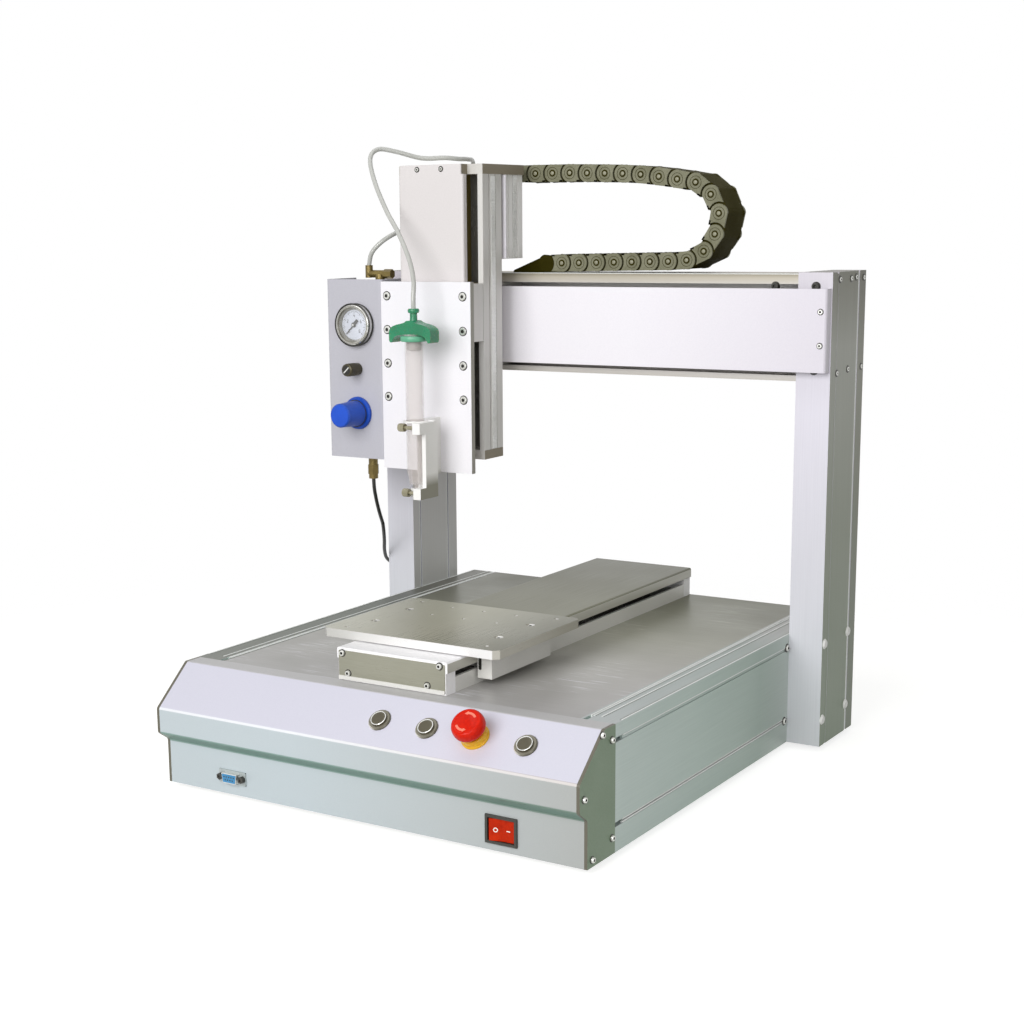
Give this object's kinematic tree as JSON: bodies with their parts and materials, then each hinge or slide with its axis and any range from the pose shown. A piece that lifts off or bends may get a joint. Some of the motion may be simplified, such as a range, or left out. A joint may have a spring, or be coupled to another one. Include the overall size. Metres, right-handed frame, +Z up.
{
  "type": "desktop dispensing robot",
  "caption": "Desktop gantry robot that moves a syringe over a sliding work table, with a pneumatic control panel, cable chain and sloping front console.",
  "frame": {"origin": "on the bench under the middle of the base, with the base measured between its lower front face and its back", "axes": "+X to the operator's right, +Y away from the operator, +Z up"},
  "size_m": [0.5295, 0.5629, 0.5994],
  "materials": {
    "white_paint": "pale grey-white powder coat",
    "anodised": "clear satin anodised",
    "grey_green_paint": "grey-green satin paint",
    "dark_plate": "dark anodised",
    "steel": "ground and turned",
    "bright_trim": "bright nickel plate",
    "black_plastic": "moulded, matt",
    "rubber": "moulded",
    "red_plastic": "moulded, glossy",
    "yellow_plastic": "moulded, glossy",
    "blue_plastic": "moulded, satin",
    "green_plastic": "moulded, satin",
    "clear_plastic": "clear to milky",
    "brass": "turned",
    "circuit": "lacquered board and steel case"
  },
  "bodies": {
    "frame": {"base_side_left": "anodised", "base_side_right": "anodised", "base_top_plate": "anodised", "base_pan": "anodised", "front_panel": "white_paint", "end_plate_left": "grey_green_paint", "end_plate_right": "grey_green_paint", "rubber_feet": "rubber", "electronics": "circuit", "column_left": "white_paint", "column_right": "white_paint", "x_beam": "anodised", "x_cover": "white_paint", "guide_rails": "steel", "axis_motors": "black_plastic", "y_body": "anodised", "y_end_blocks": "white_paint", "y_cover": "anodised", "button_rings": "bright_trim", "estop_collar": "yellow_plastic", "rocker_frame": "black_plastic", "panel_sockets": "black_plastic", "air_inlet": "brass", "chain_anchor": "black_plastic", "air_hose_lower": "black_plastic"},
    "table_carriage": {"y_saddle": "anodised", "work_table": "anodised"},
    "cross_carriage": {"x_saddle": "anodised", "z_body": "white_paint", "z_end_plates": "dark_plate", "z_cover": "white_paint", "z_rails": "steel", "z_motor": "anodised", "z_belt": "rubber", "cable_chain": "black_plastic"},
    "tool_slide": {"z_saddle": "anodised", "tool_plate": "white_paint", "syringe_holder": "anodised", "syringe_barrel": "clear_plastic", "syringe_adapter": "green_plastic", "control_box": "white_paint", "gauge": "bright_trim", "box_fittings": "brass", "air_tube": "clear_plastic", "air_hose_upper": "black_plastic"},
    "button_left": {"button_left": "bright_trim"},
    "button_middle": {"button_middle": "bright_trim"},
    "button_right": {"button_right": "bright_trim"},
    "estop_stem": {"estop_stem": "steel"},
    "estop_head": {"estop_head": "red_plastic"},
    "rocker": {"rocker": "red_plastic"},
    "x_screw": {"x_screw": "steel"},
    "y_screw": {"y_screw": "steel"},
    "z_screw": {"z_screw": "steel"},
    "z_motor_pulley": {"z_motor_pulley": "steel"},
    "gauge_needle": {"gauge_needle": "black_plastic"},
    "regulator_knob": {"regulator_knob": "blue_plastic"},
    "metering_knob": {"metering_knob": "brass"},
    "clamp_screw_upper": {"clamp_screw_upper": "steel"},
    "clamp_screw_lower": {"clamp_screw_lower": "steel"}
  },
  "joints": [
    {"name": "x_slide", "type": "slide", "parent": "frame", "child": "cross_carriage", "axis": [1, 0, 0], "range_m": [-0.015, 0.285], "deforming": ["cable_chain", "air_hose_lower"]},
    {"name": "y_slide", "type": "slide", "parent": "frame", "child": "table_carriage", "axis": [0, 1, 0], "range_m": [0, 0.3]},
    {"name": "z_slide", "type": "slide", "parent": "cross_carriage", "child": "tool_slide", "axis": [0, 0, 1], "range_m": [-0.05, 0.05], "deforming": ["air_tube", "air_hose_upper"]},
    {"name": "x_screw_turn", "type": "hinge", "parent": "frame", "child": "x_screw", "pos_m": [0, 0.1706, 0.41825], "axis": [1, 0, 0], "range_deg": [-300, 5200]},
    {"name": "y_screw_turn", "type": "hinge", "parent": "frame", "child": "y_screw", "pos_m": [0, 0, 0.126], "axis": [0, 1, 0], "range_deg": [-40, 5440]},
    {"name": "z_screw_turn", "type": "hinge", "parent": "cross_carriage", "child": "z_screw", "pos_m": [-0.135, 0.076, 0.43], "axis": [0, 0, 1], "range_deg": [-1840, 1840]},
    {"name": "z_motor_turn", "type": "hinge", "parent": "cross_carriage", "child": "z_motor_pulley", "pos_m": [-0.135, 0.133, 0.57], "axis": [0, 0, 1], "range_deg": [-1840, 1840]},
    {"name": "button_left_push", "type": "slide", "parent": "frame", "child": "button_left", "axis": [0, 0.6508, -0.7593], "range_m": [0, 0.0015], "stiffness_N_per_m": 800, "springref_m": -0.001},
    {"name": "button_middle_push", "type": "slide", "parent": "frame", "child": "button_middle", "axis": [0, 0.6508, -0.7593], "range_m": [0, 0.0015], "stiffness_N_per_m": 800, "springref_m": -0.001},
    {"name": "button_right_push", "type": "slide", "parent": "frame", "child": "button_right", "axis": [0, 0.6508, -0.7593], "range_m": [0, 0.0015], "stiffness_N_per_m": 800, "springref_m": -0.001},
    {"name": "estop_push", "type": "slide", "parent": "frame", "child": "estop_stem", "axis": [0, 0.6508, -0.7593], "range_m": [0, 0.003], "stiffness_N_per_m": 1500, "springref_m": -0.001},
    {"name": "estop_twist", "type": "hinge", "parent": "estop_stem", "child": "estop_head", "pos_m": [0.114, -0.262, 0.099], "axis": [0, 0.6508, -0.7593], "range_deg": [0, 45], "stiffness_Nm_per_rad": 0.05, "springref_deg": -5.73},
    {"name": "rocker_tip", "type": "hinge", "parent": "frame", "child": "rocker", "pos_m": [0.144, -0.266, 0.025], "axis": [0, 0, 1], "range_deg": [-16, 0]},
    {"name": "regulator_turn", "type": "hinge", "parent": "tool_slide", "child": "regulator_knob", "pos_m": [-0.2265, 0.048, 0.325], "axis": [0, 1, 0], "range_deg": [0, 720]},
    {"name": "needle_turn", "type": "hinge", "parent": "tool_slide", "child": "gauge_needle", "pos_m": [-0.2265, 0.048, 0.418], "axis": [0, 1, 0], "range_deg": [-5, 275]},
    {"name": "metering_turn", "type": "hinge", "parent": "tool_slide", "child": "metering_knob", "pos_m": [-0.2265, 0.048, 0.3715], "axis": [0, 1, 0], "range_deg": [0, 1440]},
    {"name": "clamp_upper_turn", "type": "hinge", "parent": "tool_slide", "child": "clamp_screw_upper", "pos_m": [-0.12, -0.008, 0.32], "axis": [1, 0, 0], "range_deg": [0, 720]},
    {"name": "clamp_lower_turn", "type": "hinge", "parent": "tool_slide", "child": "clamp_screw_lower", "pos_m": [-0.12, -0.008, 0.254], "axis": [1, 0, 0], "range_deg": [0, 720]}
  ],
  "couplings": [
    {"joint": "x_screw_turn", "follows": "x_slide", "rad_per_m": 314.16},
    {"joint": "y_screw_turn", "follows": "y_slide", "rad_per_m": 314.16},
    {"joint": "z_screw_turn", "follows": "z_slide", "rad_per_m": 628.32},
    {"joint": "z_motor_turn", "follows": "z_slide", "rad_per_m": 628.32},
    {"joint": "needle_turn", "follows": "regulator_turn", "ratio": 0.375}
  ]
}
